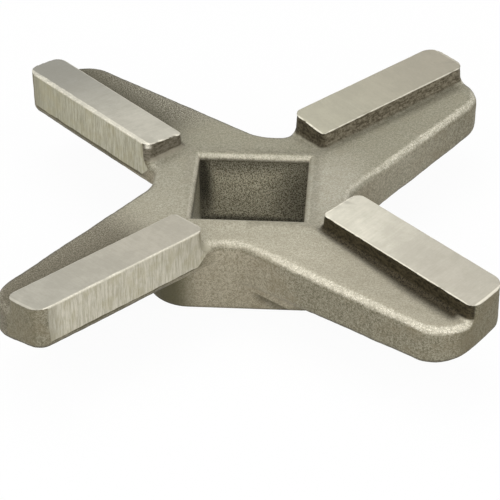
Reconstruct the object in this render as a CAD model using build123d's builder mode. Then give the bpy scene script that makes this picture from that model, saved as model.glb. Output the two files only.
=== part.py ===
from build123d import *
import os
from math import cos, radians, sin, sqrt, tan

# Four-armed knife for a meat grinder: one casting with ground cutting pads.
# The drive axis is Z. The boss stands on Z = 0 and the cutting edges face up.
# The drive square's sides lie along X and Y, and the arms on the diagonals.

# Whole knife, in millimetres and degrees
arm_count = 4
swing_diameter = 76.6
knife_height = 12.7

# Square drive hole
drive_square = 14.0
square_rim_radius = 0.8

# Hub and the boss under it
hub_width = 25.0
boss_corner_radius = 5.5
boss_edge_radius = 0.65

# Blades: the cutting edge runs this far ahead of the arm's centre line
face_lead = 6.35
blade_root_reach = 8.5
blade_root_width = 15.4
blade_tip_width = 10.5
tip_radius = 5.0
cutting_corner_radius = 2.1
bend_radius = 5.0
lead_corner_radius = 1.0

# Pitched underside of the blades
blade_lead_depth = 5.95
blade_pitch = 12.8
foot_edge_radius = 1.2

# Cast shelf that the cutting pads stand on
shelf_drop = 2.65
shelf_edge_radius = 1.3

# Cutting pads
pad_width = 6.05
pad_inner_reach = 12.5
pad_relief = 6.2
pad_draft = 5.0
pad_corner_radius = 0.8
pad_base_radius = 0.7

# Overrun of the cutting shapes past the surfaces they cut
overrun = 1.0

# Sizes that follow from them
arm_pitch = 360 / arm_count
first_arm = -arm_pitch / 2
swing_radius = swing_diameter / 2
tip_reach = sqrt(swing_radius**2 - face_lead**2)
shelf_height = knife_height - shelf_drop
lead_foot_height = knife_height - blade_lead_depth

# The trailing side tapers from the blade's root to its tip
taper_slope = (blade_root_width - blade_tip_width) / (tip_reach - blade_root_reach)
axis_back = blade_root_width - face_lead + taper_slope * blade_root_reach
past_tip = swing_radius + overrun

# A blade's leading side meets a flat of the hub at the lead corner, its trailing side another at the bend
flat_reach = hub_width / 2
flat_angle = radians(arm_pitch / 2)
lead_corner = Vector((flat_reach - face_lead * sin(flat_angle)) / cos(flat_angle), face_lead)
lead_flat = lead_corner + Vector(-sin(flat_angle), cos(flat_angle)) * lead_corner_radius
bend_reach = (flat_reach - axis_back * sin(flat_angle)) / (cos(flat_angle) - taper_slope * sin(flat_angle))
bend_corner = Vector(bend_reach, taper_slope * bend_reach - axis_back)
bend_flat = bend_corner + Vector(-sin(flat_angle), -cos(flat_angle)) * bend_radius / 2

# One blade along X, with its underside pitched up to the leading side
with BuildPart() as blade:
    with BuildSketch() as blade_plan:
        with BuildLine():
            Polyline(
                (0, 0),
                lead_flat,
                lead_corner,
                (past_tip, face_lead),
                (past_tip, taper_slope * past_tip - axis_back),
                bend_corner,
                bend_flat,
                close=True,
            )
        make_face()
        Circle(swing_radius, mode=Mode.INTERSECT)
        trailing_tip, cutting_tip = blade_plan.vertices().sort_by(Axis.X)[-2:].sort_by(Axis.Y)
        for corner, radius in (
            (lead_corner, lead_corner_radius),
            (cutting_tip, cutting_corner_radius),
            (trailing_tip, tip_radius),
            (bend_corner, bend_radius),
        ):
            fillet(blade_plan.vertices().sort_by_distance(corner)[0], radius)
    extrude(amount=knife_height)
    with BuildSketch(Plane.YZ):
        with BuildLine():
            below_drop = hub_width * tan(radians(blade_pitch))
            Polyline(
                (face_lead + hub_width, lead_foot_height + below_drop),
                (face_lead - hub_width, lead_foot_height - below_drop),
                (face_lead - hub_width, -below_drop),
                (face_lead + hub_width, -below_drop),
                close=True,
            )
        make_face()
    extrude(amount=swing_diameter, both=True, mode=Mode.SUBTRACT)
    underside = blade.faces().sort_by(Axis.Z)[0]
    outer_edges = underside.edges().filter_by(
        lambda edge: Vector(edge.center().X, edge.center().Y).length > flat_reach - overrun
    )
    fillet(outer_edges, foot_edge_radius)

# Everything above the shelf except the pads
with BuildPart() as recess:
    with BuildSketch(Plane.XY.offset(shelf_height)) as recess_plan:
        Circle(swing_diameter)
        with PolarLocations(0, arm_count, start_angle=first_arm):
            with Locations((pad_inner_reach, face_lead - pad_width)):
                Rectangle(2 * swing_diameter, 2 * pad_width, align=Align.MIN, mode=Mode.SUBTRACT)
        pad_corners = recess_plan.vertices().filter_by(
            lambda corner: Vector(corner.X, corner.Y).length < swing_radius
        )
        fillet(pad_corners, pad_corner_radius)
    extrude(amount=shelf_drop + overrun, taper=-pad_draft)
    recess_floor = recess.faces().sort_by(Axis.Z)[0]
    pad_feet = recess_floor.edges().filter_by(lambda edge: edge.center().length < 0.95 * swing_diameter)
    fillet(pad_feet, pad_base_radius)

# Wedge that slopes one pad's top back from its cutting edge
with BuildPart() as relief:
    with BuildSketch(Plane.YZ.offset(pad_inner_reach - overrun)):
        with BuildLine():
            Polyline(
                (face_lead, knife_height),
                (face_lead - 2 * pad_width, knife_height - 2 * pad_width * tan(radians(pad_relief))),
                (face_lead - 2 * pad_width, knife_height + overrun),
                (face_lead, knife_height + overrun),
                close=True,
            )
        make_face()
    extrude(amount=swing_diameter)

with BuildPart() as knife:
    # Boss with the four blades around it
    with BuildSketch() as boss_plan:
        RegularPolygon(flat_reach, arm_count, major_radius=False, rotation=first_arm)
        fillet(boss_plan.vertices(), boss_corner_radius)
    extrude(amount=shelf_height)
    with PolarLocations(0, arm_count, start_angle=first_arm):
        add(blade.part)

    # Shelf and pads
    add(recess.part, mode=Mode.SUBTRACT)
    with PolarLocations(0, arm_count, start_angle=first_arm):
        add(relief.part, mode=Mode.SUBTRACT)

    # Cast edges: the shelf's rim and the boss's foot
    cast_sides = knife.faces().filter_by(
        lambda face: face.bounding_box().min.Z < shelf_height - shelf_edge_radius / 2
    )
    shelf_rim = cast_sides.edges().filter_by_position(Axis.Z, shelf_height - 0.001, shelf_height + 0.001)
    fillet(shelf_rim, shelf_edge_radius)
    fillet(knife.edges().group_by(Axis.Z)[0], boss_edge_radius)

    # Drive square right through, rounded at its upper rim
    with BuildSketch():
        Rectangle(drive_square, drive_square)
    extrude(amount=knife_height, mode=Mode.SUBTRACT)
    square_edges = knife.edges().filter_by(
        lambda edge: max(abs(edge.center().X), abs(edge.center().Y)) < drive_square / 2 + 0.001
    )
    fillet(square_edges.group_by(Axis.Z)[-1], square_rim_radius)

os.makedirs("parts", exist_ok=True)
knife.part.label = "grinder_knife"
export_step(knife.part, "parts/grinder_knife.step")
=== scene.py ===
import math

import bpy
import bmesh
import numpy as np
from mathutils import Matrix, Vector, noise


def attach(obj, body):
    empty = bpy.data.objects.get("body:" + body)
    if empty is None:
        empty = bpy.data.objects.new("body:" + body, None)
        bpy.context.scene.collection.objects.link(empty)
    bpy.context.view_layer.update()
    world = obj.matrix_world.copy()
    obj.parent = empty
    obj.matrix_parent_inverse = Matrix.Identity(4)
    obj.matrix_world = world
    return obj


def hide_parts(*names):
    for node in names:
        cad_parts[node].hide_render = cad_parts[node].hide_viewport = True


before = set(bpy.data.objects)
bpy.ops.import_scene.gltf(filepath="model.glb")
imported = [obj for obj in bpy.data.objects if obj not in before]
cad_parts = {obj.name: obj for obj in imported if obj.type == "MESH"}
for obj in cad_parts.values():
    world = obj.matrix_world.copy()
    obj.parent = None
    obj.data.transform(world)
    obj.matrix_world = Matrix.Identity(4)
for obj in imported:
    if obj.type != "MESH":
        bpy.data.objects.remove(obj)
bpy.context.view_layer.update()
MM = 0.001

# Sizes of the CAD model, in millimetres and degrees
HEIGHT = 12.7
FACE_LEAD = 6.35
PAD_INNER = 12.5
PAD_RELIEF = 6.2
SHELF = 10.05
SHELF_EDGE = 1.3
SWING = 38.3
DRIVE_HALF = 7.0
DRIVE_RIM = 0.8

# Sizes that follow from them
RELIEF_SLOPE = math.tan(math.radians(PAD_RELIEF))
EDGE_FOOT = SHELF - SHELF_EDGE
RIM_FOOT = SHELF - DRIVE_RIM

# Extent of the ground leading faces: their depth below the cutting edge, the slant at their inner end
# and the slightly leaning line at their outer end
GROUND_DEPTH = 4.7
FACE_START = 12.2
SLANT_START, SLANT_DEPTH, SLANT_SLOPE = 12.25, 3.25, 0.954
FACE_END, FACE_END_LEAN = 36.75, 0.125

# Arms by the quarter of the plan that they lie in
SE, NE, NW, SW = 0, 1, 2, 3


# Camera, in degrees and millimetres, placed from the middle of the cutting plane
CAMERA_AZIMUTH, CAMERA_ELEVATION, CAMERA_ROLL = 4.11, 35.25, -0.51
CAMERA_RIGHT, CAMERA_UP, CAMERA_BACK = -0.07, -10.09, 297.2
FOCAL_LENGTH = 172.2
SENSOR_WIDTH = 36

azimuth, elevation, roll = map(math.radians, (CAMERA_AZIMUTH, CAMERA_ELEVATION, CAMERA_ROLL))
back = Vector((
    math.sin(azimuth) * math.cos(elevation),
    -math.cos(azimuth) * math.cos(elevation),
    math.sin(elevation),
))
level_right = Vector((math.cos(azimuth), math.sin(azimuth), 0))
level_up = back.cross(level_right)
right = level_right * math.cos(roll) + level_up * math.sin(roll)
up = level_up * math.cos(roll) - level_right * math.sin(roll)
stand = right * CAMERA_RIGHT + up * CAMERA_UP + back * CAMERA_BACK + Vector((0, 0, HEIGHT))
camera_data = bpy.data.cameras.new("camera")
camera_data.lens = FOCAL_LENGTH
camera_data.sensor_width = SENSOR_WIDTH
camera_data.clip_start = 0.01
camera_data.clip_end = 20
camera = bpy.data.objects.new("camera", camera_data)
camera.matrix_world = Matrix.Translation(stand * MM) @ Matrix((right, up, back)).transposed().to_4x4()
bpy.context.collection.objects.link(camera)
bpy.context.scene.camera = camera


# The casting's mesh, in millimetres and degrees
VOXEL = 0.12
KEPT_SHARE = 0.17
SHARP_ANGLE = 25

# The cast skin's swell: heights and waves a millimetre
SWELLS = ((0.055, 0.28), (0.030, 0.9), (0.016, 2.4))

# Wear of each arm's pad, along its back edge and at its inner end
BACK_WEAR = (0.10, 0.10, 0.02, 0.02)
END_WEAR = (0.0, 0.10, 0.16, 0.0)


def bake_modifiers(obj):
    """Applies the object's modifiers to its mesh."""
    graph = bpy.context.evaluated_depsgraph_get()
    graph.update()
    made = bpy.data.meshes.new_from_object(obj.evaluated_get(graph))
    obj.modifiers.clear()
    old = obj.data
    obj.data = made
    bpy.data.meshes.remove(old)


def vertex_rows(mesh, name):
    """A vector of each vertex, such as its place, as the rows of an array."""
    values = np.empty(len(mesh.vertices) * 3)
    mesh.vertices.foreach_get(name, values)
    return values.reshape(-1, 3)


def arm_coordinates(points):
    """Distance along the nearest arm, distance ahead of its centre line, and the arm's number."""
    angle = np.arctan2(points[:, 1], points[:, 0])
    arm = np.round((angle + math.pi / 4) / (math.pi / 2))
    local = angle - (arm * math.pi / 2 - math.pi / 4)
    radius = np.hypot(points[:, 0], points[:, 1])
    return radius * np.cos(local), radius * np.sin(local), arm.astype(int) % 4


def rise(values, low, high):
    """Goes smoothly from 0 at low to 1 at high."""
    share = np.clip((values - low) / (high - low), 0, 1)
    return share * share * (3 - 2 * share)


def fall(values, low, high):
    """Goes smoothly from 1 at low to 0 at high."""
    return 1 - rise(values, low, high)


def roughen(mesh):
    """Makes the cast skin uneven and wears the pads' back and inner edges."""
    points = vertex_rows(mesh, "co") / MM
    normals = vertex_rows(mesh, "normal")
    along, ahead, arm = arm_coordinates(points)
    height = points[:, 2]
    reach = np.abs(points[:, :2]).max(axis=1)
    on_arm = along > PAD_INNER - 0.3

    # Only the cast skin swells, not the ground faces or the surface that the knife stands on
    under_top = HEIGHT - (FACE_LEAD - ahead) * RELIEF_SLOPE - height
    top = fall(under_top, 0.02, 0.3) * (height > SHELF + 0.5)
    face_foot = HEIGHT - GROUND_DEPTH
    face = rise(ahead, FACE_LEAD - 0.2, FACE_LEAD - 0.02) * on_arm * rise(height, face_foot - 0.6, face_foot)
    cast = (1 - np.maximum(top, face)) * rise(height, 0.02, 0.5)
    swell = np.zeros(len(points))
    for i in np.nonzero(cast > 0)[0]:
        spot = Vector(points[i])
        swell[i] = sum(size * noise.noise(spot * waves) for size, waves in SWELLS)

    # The skin sinks away from the drive square, and stands a little proud around it and inside it
    in_square = (reach < DRIVE_HALF + 0.3) * fall(height, RIM_FOOT - 0.85, RIM_FOOT + 0.05)
    off_square = rise(reach, DRIVE_HALF + 0.8, DRIVE_HALF + 4)
    proud = 0.06 * fall(reach, DRIVE_HALF + 0.8, DRIVE_HALF + 2.5) * (height > RIM_FOOT - 0.85)
    outside = off_square * np.minimum(swell - 0.05, 0) + proud
    offset = cast * (in_square * (swell * 0.6 + 0.04) + (1 - in_square) * outside)

    # Wear of the pads' edges
    at_back = fall(ahead, 0.5, 0.9) * on_arm
    at_inner_end = fall(along, PAD_INNER + 0.3, PAD_INNER + 0.7) * on_arm
    wear = np.maximum(np.choose(arm, BACK_WEAR) * at_back, np.choose(arm, END_WEAR) * at_inner_end)
    wear *= fall(under_top, 0.15, 0.7) * (ahead > 0) * (ahead < FACE_LEAD - 0.1) * (height > SHELF + 1)
    for i in np.nonzero(wear > 0)[0]:
        spot = Vector(points[i])
        offset[i] -= wear[i] * max(0, 0.3 + noise.noise(spot * 0.9) + 0.5 * noise.noise(spot * 2.2))

    points += normals * offset[:, None]
    mesh.vertices.foreach_set("co", (points * MM).ravel())
    mesh.update()


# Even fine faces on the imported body's surface, roughened, and then as few as keep the form
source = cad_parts["grinder_knife"]
welded = source.data.copy()
welded.materials.clear()
knife = bpy.data.objects.new("knife_casting", welded)
bpy.context.collection.objects.link(knife)
weld = bmesh.new()
weld.from_mesh(welded)
bmesh.ops.remove_doubles(weld, verts=weld.verts, dist=1e-6)
weld.to_mesh(welded)
weld.free()
remesh = knife.modifiers.new("fine", "REMESH")
remesh.mode = "VOXEL"
remesh.voxel_size = VOXEL * MM
bake_modifiers(knife)
wrap = knife.modifiers.new("true", "SHRINKWRAP")
wrap.target = source
wrap.wrap_method = "NEAREST_SURFACEPOINT"
bake_modifiers(knife)
roughen(knife.data)
reduce = knife.modifiers.new("reduce", "DECIMATE")
reduce.ratio = KEPT_SHARE
bake_modifiers(knife)
for polygon in knife.data.polygons:
    polygon.use_smooth = True
knife.data.set_sharp_from_angle(angle=math.radians(SHARP_ANGLE))
weighted = knife.modifiers.new("weighted", "WEIGHTED_NORMAL")
weighted.keep_sharp = True
bake_modifiers(knife)


# Material helpers
def feed(tree, slot, value):
    """Gives a node's input a number, or joins it to a field."""
    if isinstance(value, Field):
        tree.links.new(value.socket, slot)
    else:
        slot.default_value = value


class Field:
    """A number that varies over the surface."""

    def __init__(self, tree, socket):
        self.tree, self.socket = tree, socket

    def node(self, operation, *values):
        made = self.tree.nodes.new("ShaderNodeMath")
        made.operation = operation
        for slot, value in zip(made.inputs, (self, *values)):
            feed(self.tree, slot, value)
        return Field(self.tree, made.outputs[0])

    def __add__(self, other):
        return self.node("ADD", other)

    def __sub__(self, other):
        return self.node("SUBTRACT", other)

    def __mul__(self, other):
        return self.node("MULTIPLY", other)

    def __neg__(self):
        return self * -1

    def __rsub__(self, other):
        return -self + other

    def __abs__(self):
        return self.node("ABSOLUTE")

    def above(self, other):
        """1 where this is greater, and 0 elsewhere."""
        return self.node("GREATER_THAN", other)

    def least(self, other):
        return self.node("MINIMUM", other)

    def most(self, other):
        return self.node("MAXIMUM", other)

    def ease(self, low, high, first=0.0, last=1.0):
        """Goes smoothly from first at low to last at high."""
        made = self.tree.nodes.new("ShaderNodeMapRange")
        made.interpolation_type = "SMOOTHSTEP"
        self.tree.links.new(self.socket, made.inputs["Value"])
        for name, value in (("From Min", low), ("From Max", high), ("To Min", first), ("To Max", last)):
            feed(self.tree, made.inputs[name], value)
        return Field(self.tree, made.outputs["Result"])

    def fade(self, low, high):
        """Goes smoothly from 1 at low to 0 at high."""
        return self.ease(low, high, 1, 0)

    def mix(self, first, second):
        """A colour that goes from first at 0 to second at 1."""
        made = self.tree.nodes.new("ShaderNodeMix")
        made.data_type = "RGBA"
        self.tree.links.new(self.socket, made.inputs[0])
        for slot, value in ((made.inputs[6], first), (made.inputs[7], second)):
            if isinstance(value, tuple):
                slot.default_value = (*value, 1)
            else:
                self.tree.links.new(value, slot)
        return made.outputs[2]


def paint(red, green, blue):
    """A colour as shader nodes take it, from its display values of 0 to 255."""
    shares = (red / 255, green / 255, blue / 255)
    return tuple(v / 12.92 if v <= 0.04045 else ((v + 0.055) / 1.055) ** 2.4 for v in shares)


# The knife's steel: the place and the facing of each point, in millimetres
steel = bpy.data.materials.new("cast_steel")
steel.use_nodes = True
tree = steel.node_tree
shader = tree.nodes["Principled BSDF"]
coordinates = tree.nodes.new("ShaderNodeTexCoord")
scaled = tree.nodes.new("ShaderNodeVectorMath")
scaled.operation = "SCALE"
scaled.inputs["Scale"].default_value = 1 / MM
tree.links.new(coordinates.outputs["Object"], scaled.inputs[0])
spot = scaled.outputs[0]


def split(vector):
    """The three fields of a vector socket."""
    made = tree.nodes.new("ShaderNodeSeparateXYZ")
    tree.links.new(vector, made.inputs[0])
    return (Field(tree, socket) for socket in made.outputs)


def combine(*fields):
    """A vector socket from three fields."""
    made = tree.nodes.new("ShaderNodeCombineXYZ")
    for slot, field in zip(made.inputs, fields):
        feed(tree, slot, field)
    return made.outputs[0]


def grain(scale, detail, roughness=0.5, vector=spot):
    """Noise from 0 to 1, at this many waves for each unit of the vector."""
    made = tree.nodes.new("ShaderNodeTexNoise")
    made.inputs["Scale"].default_value = scale
    made.inputs["Detail"].default_value = detail
    made.inputs["Roughness"].default_value = roughness
    tree.links.new(vector, made.inputs["Vector"])
    return Field(tree, made.outputs["Fac"])


x, y, z = split(spot)
facing_x, facing_y, facing_up = split(coordinates.outputs["Normal"])

# Places on the hub: the greater and the lesser of the distances from its middle along X and Y
reach = abs(x).most(abs(y))
across = abs(x).least(abs(y))

# Places on an arm: along it, ahead of its centre line, and below the cutting edge
DIAGONAL = math.sqrt(0.5)
along = (abs(x) + abs(y)) * DIAGONAL
turn = (x * y).above(0) * 2 - 1
ahead = turn * (abs(y) - abs(x)) * DIAGONAL
radius = (along * along + ahead * ahead).node("SQRT")
depth = HEIGHT - z
east, north = x.above(0), y.above(0)
west, south = 1 - east, 1 - north
arms = {SE: east * south, NE: east * north, NW: west * north, SW: west * south}


def by_arm(se, ne, nw, sw):
    """A number that each arm has its own value of."""
    return arms[SE] * se + arms[NE] * ne + arms[NW] * nw + arms[SW] * sw


# Noise of several sizes
broad = grain(0.16, 2)
patches = grain(0.6, 3)
fine = grain(3.0, 3, 0.7)
sand = grain(6.5, 2, 0.7)
specks = (fine * 0.45 + sand * 0.55).ease(0.40, 0.60)
ragged = (patches - 0.5) * 0.8
rough_edge = (fine - 0.5) * 0.5

# The ground tops of the pads, and the ground leading faces
below_top = depth - (FACE_LEAD - ahead) * RELIEF_SLOPE
above_shelf = z.ease(SHELF + 0.3, SHELF + 0.6)
top = below_top.fade(0.05, 0.12) * above_shelf
foot_line = by_arm(0, 0, 0.05, 0.25) + GROUND_DEPTH + ragged * 0.5
slant_line = (along - SLANT_START) * SLANT_SLOPE + SLANT_DEPTH + ragged * 0.3
end_line = FACE_END - depth * FACE_END_LEAN
on_face = ahead.ease(FACE_LEAD - 0.08, FACE_LEAD - 0.03) * along.above(FACE_START)
face = on_face * (foot_line - depth).ease(-0.05, 0.05) * (slant_line - depth).ease(-0.05, 0.05)
face = face * (end_line - along + ragged * 0.4).ease(-0.08, 0.08)
ground = top.most(face)

# The pads' cast back and inner end walls, and the outer ends of the arms
at_tip = radius.ease(SWING - 0.35, SWING - 0.15)
pad_wall = z.ease(SHELF - 0.02, SHELF + 0.25) * (1 - ground) * (1 - on_face) * (1 - at_tip)
pad_wall = pad_wall * ahead.fade(0.9, 1.3).most(along.fade(PAD_INNER + 0.9, PAD_INNER + 1.4))

# The rounded rim of the shelf: a painted highlight where it faces the front and the sides, and painted shade
# where it faces back
shelf_edge = z.ease(EDGE_FOOT - 0.05, EDGE_FOOT + 0.1) * z.fade(SHELF + 0.01, SHELF + 0.1) * reach.above(9.0)
facing_back = facing_y.ease(0.06, 0.3)
lit_low, lit_high = along.ease(12.0, 17.0, 0.6, 0.25), along.ease(12.0, 17.0, 0.8, 0.75)
near_pad = ahead.ease(-1.0, -0.6) * along.ease(11.2, 11.6)
near_pad = near_pad * radius.fade(SWING - 1.2, SWING - 0.8) * z.above(SHELF - 0.06)
lit_arms = (1 - arms[NW] * 0.6) * (east + west * along.ease(12.5, 16.0, 1, 0.15))
rim = shelf_edge * facing_up.ease(lit_low, lit_high) * facing_up.fade(0.87, 0.985) * (1 - facing_back)
rim = rim * along.ease(12.0, 17.0, 0.7, 1.0) * lit_arms * patches.ease(0.3, 0.6, 0.6, 1.0) * (1 - near_pad)
rim_shade = shelf_edge * facing_back * facing_up.ease(0.55, 0.75) * facing_up.fade(0.93, 0.985)

# Cast skin on the shelf, with painted light that makes it lighter to the front and at the sides of the hub
BACK_SKIN = paint(127, 124, 105), paint(161, 157, 140)
FRONT_SKIN_LIT = paint(161, 155, 137), paint(195, 189, 170)
HUB_SIDE_SKIN_LIT = paint(160, 155, 139), paint(188, 184, 169)
SE_SHELF = paint(132, 126, 108)
SKIN_PATCH = paint(140, 133, 112)
# Painted light: the skin lighter to the front and at the sides of the hub
front = y.fade(-17.0, 3.0)
hub_side_light = abs(abs(x) - 10.5).fade(1.0, 6.0) * abs(y).fade(2.0, 12.0) * x.ease(-3.0, 3.0, 0.45, 1.0)
skin = specks.mix(*BACK_SKIN)
skin = (front * 0.9).mix(skin, specks.mix(*FRONT_SKIN_LIT))
skin = (hub_side_light * 0.75).mix(skin, specks.mix(*HUB_SIDE_SKIN_LIT))
skin = (arms[SE] * along.ease(14.0, 22.0) * 0.25).mix(skin, SE_SHELF)
skin = (patches.ease(0.35, 0.75) * 0.25).mix(skin, SKIN_PATCH)

# Cast sides of the arms and the boss, with a painted shadow along the faint crease where a blade's underside
# runs out on the boss
SIDES = paint(97, 92, 74), paint(143, 138, 120)
NE_SIDE = paint(122, 117, 99), paint(163, 158, 140)
BOSS_SIDE_LIT = paint(127, 120, 100), paint(164, 157, 138)
SIDE_PATCH = paint(120, 110, 88)
BOSS_CORNER_SHADE = paint(85, 81, 61)
CREASE_SHADOW = paint(58, 52, 38)
ARM_END = paint(92, 86, 65)
BOSS_FRONT = 12.0
CREASE_START, CREASE_SLOPE = 3.5, 0.58
boss = reach.fade(12.7, 19.0) * reach.ease(9.0, 10.0) * z.fade(8.6, 9.4)
# Painted shade at the boss's lower corners
boss_corner_shade = across.ease(5.0, 8.8) * boss * z.fade(5.5, 8.0) * reach.fade(12.6, 13.2)
# Painted shadow just under the crease line on the boss's front
over_crease = z - (CREASE_START - x * CREASE_SLOPE)
crease_shadow = over_crease.ease(-1.6, -0.1) * over_crease.fade(-0.1, 0.15)
crease_shadow = crease_shadow * (-y).above(BOSS_FRONT) * x.ease(0.5, 2.0) * x.fade(5.5, 7.5)
side = specks.mix(*SIDES)
side = (arms[NE] * along.fade(20.0, 35.0)).mix(side, specks.mix(*NE_SIDE))
# Painted light: the boss's side lighter, for the light that the floor throws back under the knife
side = boss.mix(side, specks.mix(*BOSS_SIDE_LIT))
side = ((broad * 0.5 + patches * 0.5).ease(0.45, 0.7) * 0.5).mix(side, SIDE_PATCH)
side = (boss_corner_shade * 0.95).mix(side, BOSS_CORNER_SHADE)
side = (crease_shadow * 0.6).mix(side, CREASE_SHADOW)
side = (at_tip * by_arm(0.35, 0, 0, 0.35)).mix(side, ARM_END)
# The sides darker than the shelf: partly the cast skin's own browner colour, partly painted shade
skin = facing_up.fade(0.25, 0.7).mix(skin, side)

# The strips of shelf behind the two west pads, with painted shade that makes them darker close to the pad
FAR_STRIP = paint(89, 85, 71), paint(182, 177, 160)
NEAR_STRIP_SHADED = paint(74, 70, 56), paint(105, 101, 85)
SW_STRIP = paint(95, 89, 74), paint(136, 129, 112)
behind = (1 - above_shelf) * west * (0.6 - ahead).ease(0, 0.3) * along.ease(12.5, 20.0)
# Painted shade: darker close to the pad
strip = (-ahead).fade(0.0, 7.0).mix(sand.ease(0.44, 0.62).mix(*FAR_STRIP), specks.mix(*NEAR_STRIP_SHADED))
strip = (arms[SW] * 0.6).mix(strip, specks.mix(*SW_STRIP))
skin = behind.mix(skin, strip)

# The shelf's rim, and painted shade on the undersides of the arms and at the foot of the boss
RIM_HIGHLIGHT = paint(216, 210, 192)
RIM_GLINT_PAINTED = paint(250, 246, 232)
RIM_SHADE = paint(70, 66, 53)
UNDERSIDE_SHADE = paint(60, 56, 44)
underneath_shade = (facing_up.fade(-0.55, -0.1) * along.ease(17.0, 19.0)).most(z.fade(0.1, 0.6))
# Painted highlight and glints on the rim, and painted shade where it faces back
skin = (rim * (specks * 0.55 + 0.3)).mix(skin, RIM_HIGHLIGHT)
skin = (rim * sand.ease(0.58, 0.68) * 0.85).mix(skin, RIM_GLINT_PAINTED)
skin = (rim_shade * 0.6).mix(skin, RIM_SHADE)
# Painted shade on the undersides of the arms and along the foot of the boss
skin = (underneath_shade * 0.6).mix(skin, UNDERSIDE_SHADE)

# Dark walls of the pads, with faint lines along them: dark scale, deepened by painted shade on the southeast
# pad; and painted shade at their foot
PAD_WALL = paint(79, 72, 57), paint(131, 124, 106)
DARK_WALL = paint(33, 28, 16), paint(68, 61, 44)
NW_WALL = paint(83, 77, 63), paint(121, 115, 101)
FOOT_SHADE = paint(35, 30, 19), paint(74, 67, 51)
layers = grain(1.0, 3, 0.7, combine(x * 0.8, y * 0.8, z * 3.6))
wall_specks = (layers * 0.5 + fine * 0.5).ease(0.40, 0.60)
dark_wall = wall_specks.mix(*DARK_WALL)
# The southeast pad's wall is darkest: dark scale and painted shade
wall = arms[SE].mix(wall_specks.mix(*PAD_WALL), dark_wall)
wall = (arms[NE] * along.ease(12.9, 13.4, 0.75, 0)).mix(wall, dark_wall)
wall = arms[NW].mix(wall, wall_specks.mix(*NW_WALL))
skin = (pad_wall * by_arm(1, 1, 1, 0.15)).mix(skin, wall)
from_wall = (0.35 - ahead) * along.ease(13.0, 30.0, 1.5, 0.74)
at_foot = from_wall.fade(0.3, 1.7) * ahead.fade(0.5, 1.0) * along.ease(11.5, 13.5)
at_foot = at_foot * (1 - above_shelf) * facing_up.ease(0.3, 0.6) * radius.fade(SWING - 2.6, SWING - 1.3)
skin = (at_foot * by_arm(1, 0.35, 0.3, 0.3)).mix(skin, specks.mix(*FOOT_SHADE))

# Drive square: painted shade on its walls, darker to their corners, tops and feet around a painted pool of
# light; a painted highlight on the rim but for its near side, which has painted shade, and a painted shade
# line under the rim of the far wall
HOLE_SHADE = paint(14, 11, 5), paint(59, 55, 42)
HOLE_LIT = paint(94, 88, 68), paint(197, 191, 167)
HOLE_RIM_HIGHLIGHT = paint(218, 212, 194)
NEAR_HOLE_RIM_SHADE = paint(70, 65, 50)
UNDER_RIM_SHADE = paint(60, 55, 40)
below_rim = z.fade(RIM_FOOT - 0.1, RIM_FOOT + 0.2)
hole_wall = (DRIVE_HALF + 0.3 - reach).ease(0, 0.1) * below_rim
hole_rim = (DRIVE_HALF + 0.6 - reach).ease(0, 0.35) * (1 - below_rim) * z.fade(SHELF - 0.02, SHELF + 0.1)
corner = across.ease(4.6, 6.3) * z.ease(1.0, 5.0, 0.6, 1.0) * x.ease(-4.0, 4.0, 0.9, 0.5)
off_middle = abs(x + 2.0).ease(2.0, 7.5, 0, 0.55)
shade = corner.most(z.ease(0.2, 1.4, 0.8, 0)).most(z.ease(6.0, 9.2, 0, 0.65)).most(off_middle)
# Painted shade and a painted pool of light on the walls of the square
hole = shade.mix(sand.ease(0.36, 0.64).mix(*HOLE_LIT), sand.ease(0.38, 0.62).mix(*HOLE_SHADE))
skin = hole_wall.mix(skin, hole)
lit_side = (-facing_y).ease(0.1, 0.5).most(facing_x.ease(0.1, 0.5))
lit_side = lit_side * patches.ease(0.3, 0.65, 0.5, 1.0) * z.ease(9.55, 9.75, 0.6, 1.0)
# Painted highlight on the rim's lit sides, painted shade on its near side
skin = (hole_rim * (specks * 0.45 + 0.3) * lit_side).mix(skin, HOLE_RIM_HIGHLIGHT)
skin = (hole_rim * facing_y.ease(0.05, 0.3) * 0.8).mix(skin, NEAR_HOLE_RIM_SHADE)
# A painted shade line under the rim of the far wall
under_rim_shade = z.ease(9.0, 9.25) * z.fade(9.4, 9.6) * (DRIVE_HALF + 0.5 - reach).ease(0, 0.1) * north
skin = (under_rim_shade * 0.5).mix(skin, UNDER_RIM_SHADE)

# Ground tops: satin, with fine lines across the pad. Each has its colours at its outer and inner end, and
# the southeast top, lighter than the others and lightest at its inner end, carries a painted reflection.
NW_TOP = paint(136, 134, 124), paint(183, 179, 165)
SW_TOP = paint(167, 163, 150), paint(172, 166, 151)
NE_TOP = paint(147, 141, 125), paint(155, 151, 133)
SE_TOP = paint(159, 154, 141), paint(192, 188, 173)
SE_TOP_EDGE = paint(152, 148, 135)
SATIN = paint(127, 124, 110)
scratches = grain(1.0, 4, 0.65, combine(along * 3.4, ahead * 0.4, z))
cloudy = (patches * 0.5 + broad * 0.5).ease(0.35, 0.65)
satin = (scratches * 0.5 + cloudy * 0.25 + fine * 0.25).ease(0.25, 0.7)
inward = along.fade(14.0, 37.0)
top_colour = arms[NW].mix(inward.mix(*SW_TOP), along.fade(16.0, 36.5).mix(*NW_TOP))
top_colour = arms[NE].mix(top_colour, inward.mix(*NE_TOP))
# Painted reflection on the southeast top
se_top = (ahead.ease(1.5, 6.2) * 0.35).mix(along.fade(14.0, 31.0).mix(*SE_TOP), SE_TOP_EDGE)
top_colour = arms[SE].mix(top_colour, se_top)
top_colour = (satin * 0.35).mix(top_colour, SATIN)
skin = top.mix(skin, top_colour)

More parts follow.
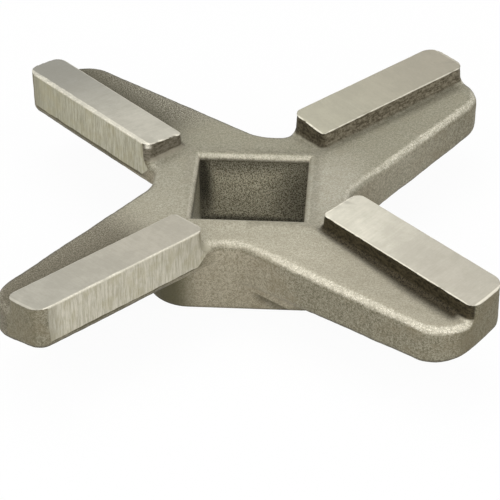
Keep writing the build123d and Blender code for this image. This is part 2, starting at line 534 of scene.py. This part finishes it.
# Ground leading faces, with lines along the axis, and painted shade on the cast strip under them
NW_FACE = paint(136, 132, 110), paint(177, 173, 153)
NW_FACE_END = paint(134, 131, 108)
SW_FACE = paint(163, 158, 140), paint(196, 191, 174)
FACE_PATCH = paint(149, 141, 107)
FACE_TIP = paint(112, 107, 88)
UNDER_FACE_SHADE = paint(80, 75, 55)
lines = grain(1.0, 4, 0.8, combine(along * 6.5, ahead, z * 0.45))
streaks = lines.ease(0.38, 0.62)
face_colour = (along.ease(20.0, 36.0) * 0.5).mix(streaks.mix(*NW_FACE), NW_FACE_END)
face_colour = arms[SW].mix(face_colour, streaks.mix(*SW_FACE))
face_colour = (patches.ease(0.4, 0.7) * 0.35).mix(face_colour, FACE_PATCH)
face_colour = (along.ease(34.0, 36.5) * 0.45).mix(face_colour, FACE_TIP)
skin = face.mix(skin, face_colour)
# Painted shade on the cast strip under the ground faces
under_face_shade = on_face * (1 - face) * z.ease(6.0, 7.0)
under_face_shade = under_face_shade * along.ease(FACE_START, 14.5) * (end_line - along).ease(0.0, 0.3)
skin = (under_face_shade * 0.85).mix(skin, UNDER_FACE_SHADE)

# Bright band along the cutting edge: worn steel, and a painted highlight on the edge's small rounding
WORN_EDGE_HIGHLIGHT = paint(220, 215, 198)
band_width = by_arm(0.15, 0.15, 0.75, 0.32) + ragged * 0.35 + rough_edge * 0.3
band = (ahead - FACE_LEAD + band_width).ease(0, 0.15) * top
band = band.most(depth.fade(0.1, 0.28) * face)
# Worn steel and a painted highlight along the cutting edge
skin = (band * (specks * 0.45 + 0.5) * patches.ease(0.3, 0.6, 0.6, 1)).mix(skin, WORN_EDGE_HIGHLIGHT)

# Light spots: painted light on the inner corner of the southwest blade, over the shade of its rounding; and
# a burr and a wall's foot on the northwest pad
SW_CORNER_LIT = paint(172, 167, 148)
BURR = paint(236, 231, 216)
WALL_FOOT = paint(160, 154, 137)
sw_corner_lit = arms[SW] * along.ease(11.6, 12.0) * along.fade(13.3, 13.7) * ahead.ease(5.0, 5.6)
sw_corner_lit = sw_corner_lit * z.ease(SHELF - 1.2, SHELF - 0.7) * (1 - ground)
# Painted light on the southwest blade's inner corner
skin = (sw_corner_lit * 0.85).mix(skin, SW_CORNER_LIT)
burr = arms[NW] * (along + ragged * 0.3).fade(13.0, 13.5) * ahead.ease(5.3, 5.9) * z.ease(11.8, 12.1)
skin = (burr * (specks * 0.4 + 0.6)).mix(skin, BURR)
wall_foot = arms[NW] * z.ease(SHELF, SHELF + 0.15) * z.fade(SHELF + 0.45, SHELF + 0.7)
wall_foot = wall_foot * along.fade(12.6, 12.9) * ahead.above(0.3) * (1 - ground)
skin = (wall_foot * 0.6).mix(skin, WALL_FOOT)

# Painted highlights: thin bright lines on the tops' back, inner and outer edges
EDGE_HIGHLIGHT = paint(206, 201, 185)
back_line = (ahead + rough_edge * 0.2).fade(0.58, 0.68)
inner_line = (along + rough_edge * 0.4 + ragged * 0.2).fade(12.85, 12.98)
outer_line = (radius + rough_edge * 0.3).ease(SWING - 0.42, SWING - 0.3) * by_arm(0.8, 0.5, 0, 0.9)
edge_highlight = back_line.most(inner_line).most(outer_line) * top * by_arm(0.8, 0.7, 0.6, 0.4)
# Painted highlights along the tops' edges
skin = edge_highlight.mix(skin, EDGE_HIGHLIGHT)
tree.links.new(skin, shader.inputs["Base Color"])


def cast_or_ground(for_cast, for_ground):
    """A number that the cast skin and the ground faces each have their own value of."""
    return ground * (for_ground - for_cast) + for_cast


tree.links.new((cast_or_ground(0.62, 0.42) + (fine - 0.5) * 0.2).socket, shader.inputs["Roughness"])
tree.links.new(cast_or_ground(0.15, 0.5).socket, shader.inputs["Specular IOR Level"])
tree.links.new(cast_or_ground(0.3, 0.5).socket, shader.inputs["Metallic"])

# Relief finer than the mesh: sand grain on the cast skin, grinding lines on the ground faces
BUMP_HEIGHT = 0.12
cast_relief = (fine * 0.6 + sand * 0.4) * (1 - ground)
ground_relief = scratches * top * 0.12 + lines * face * 0.25
relief = cast_relief + ground_relief
bump = tree.nodes.new("ShaderNodeBump")
bump.inputs["Strength"].default_value = 0.6
bump.inputs["Distance"].default_value = BUMP_HEIGHT * MM
tree.links.new(relief.socket, bump.inputs["Height"])
tree.links.new(bump.outputs[0], shader.inputs["Normal"])

knife.data.materials.clear()
knife.data.materials.append(steel)
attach(knife, "root")
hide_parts("grinder_knife")


# Floor and light, in metres
FLOOR_SIZE = 6
FLOOR_WHITE = 0.93
FLOOR_GLOW = 0.95
ROOM_LIGHT, SEEN_ROOM = 0.3, 1.0
LAMPS_AIM = Vector((0, 0, 0.008))


def whichever_sees(tree):
    """1 for what the camera sees, also in metal or through glass."""
    path = tree.nodes.new("ShaderNodeLightPath")
    names = ("Is Camera Ray", "Is Glossy Ray", "Is Transmission Ray")
    by_eye, in_metal, through_glass = (Field(tree, path.outputs[name]) for name in names)
    return by_eye.most(in_metal).most(through_glass)


def lamp(name, direction, distance, size, power):
    """A square soft box that looks at the knife."""
    data = bpy.data.lights.new(name, "AREA")
    data.shape = "SQUARE"
    data.size = size
    data.energy = power
    obj = bpy.data.objects.new(name, data)
    to_lamp = Vector(direction).normalized()
    obj.location = to_lamp * distance + LAMPS_AIM
    obj.rotation_euler = to_lamp.to_track_quat("Z", "Y").to_euler()
    bpy.context.collection.objects.link(obj)


bpy.ops.mesh.primitive_plane_add(size=FLOOR_SIZE, location=(0, 0, 0))
floor = bpy.context.active_object
floor.name = "floor"
paper = bpy.data.materials.new("white_floor")
paper.use_nodes = True
nodes, links = paper.node_tree.nodes, paper.node_tree.links
matte = nodes["Principled BSDF"]
matte.inputs["Base Color"].default_value = (FLOOR_WHITE, FLOOR_WHITE, FLOOR_WHITE, 1)
matte.inputs["Roughness"].default_value = 0.9
glow = nodes.new("ShaderNodeEmission")
glow.inputs["Color"].default_value = (1, 1, 1, 1)
share = whichever_sees(paper.node_tree) * FLOOR_GLOW
mixed = nodes.new("ShaderNodeMixShader")
links.new(share.socket, mixed.inputs[0])
links.new(matte.outputs[0], mixed.inputs[1])
links.new(glow.outputs[0], mixed.inputs[2])
links.new(mixed.outputs[0], nodes["Material Output"].inputs["Surface"])
floor.data.materials.append(paper)

world = bpy.data.worlds.new("studio")
bpy.context.scene.world = world
world.use_nodes = True
background = world.node_tree.nodes["Background"]
background.inputs["Color"].default_value = (1, 1, 1, 1)
strength = whichever_sees(world.node_tree) * (SEEN_ROOM - ROOM_LIGHT) + ROOM_LIGHT
world.node_tree.links.new(strength.socket, background.inputs["Strength"])

lamp("left_box", (-0.8, -0.3, 0.6), distance=0.5, size=0.35, power=0.8)
lamp("right_box", (0.85, -0.25, 0.6), distance=0.5, size=0.35, power=0.6)
lamp("top_box", (-0.1, 0.45, 0.9), distance=0.55, size=0.4, power=1.15)
lamp("front_box", (0.05, -0.9, 0.35), distance=0.6, size=0.4, power=2.0)
bpy.context.scene.view_settings.view_transform = "Standard"
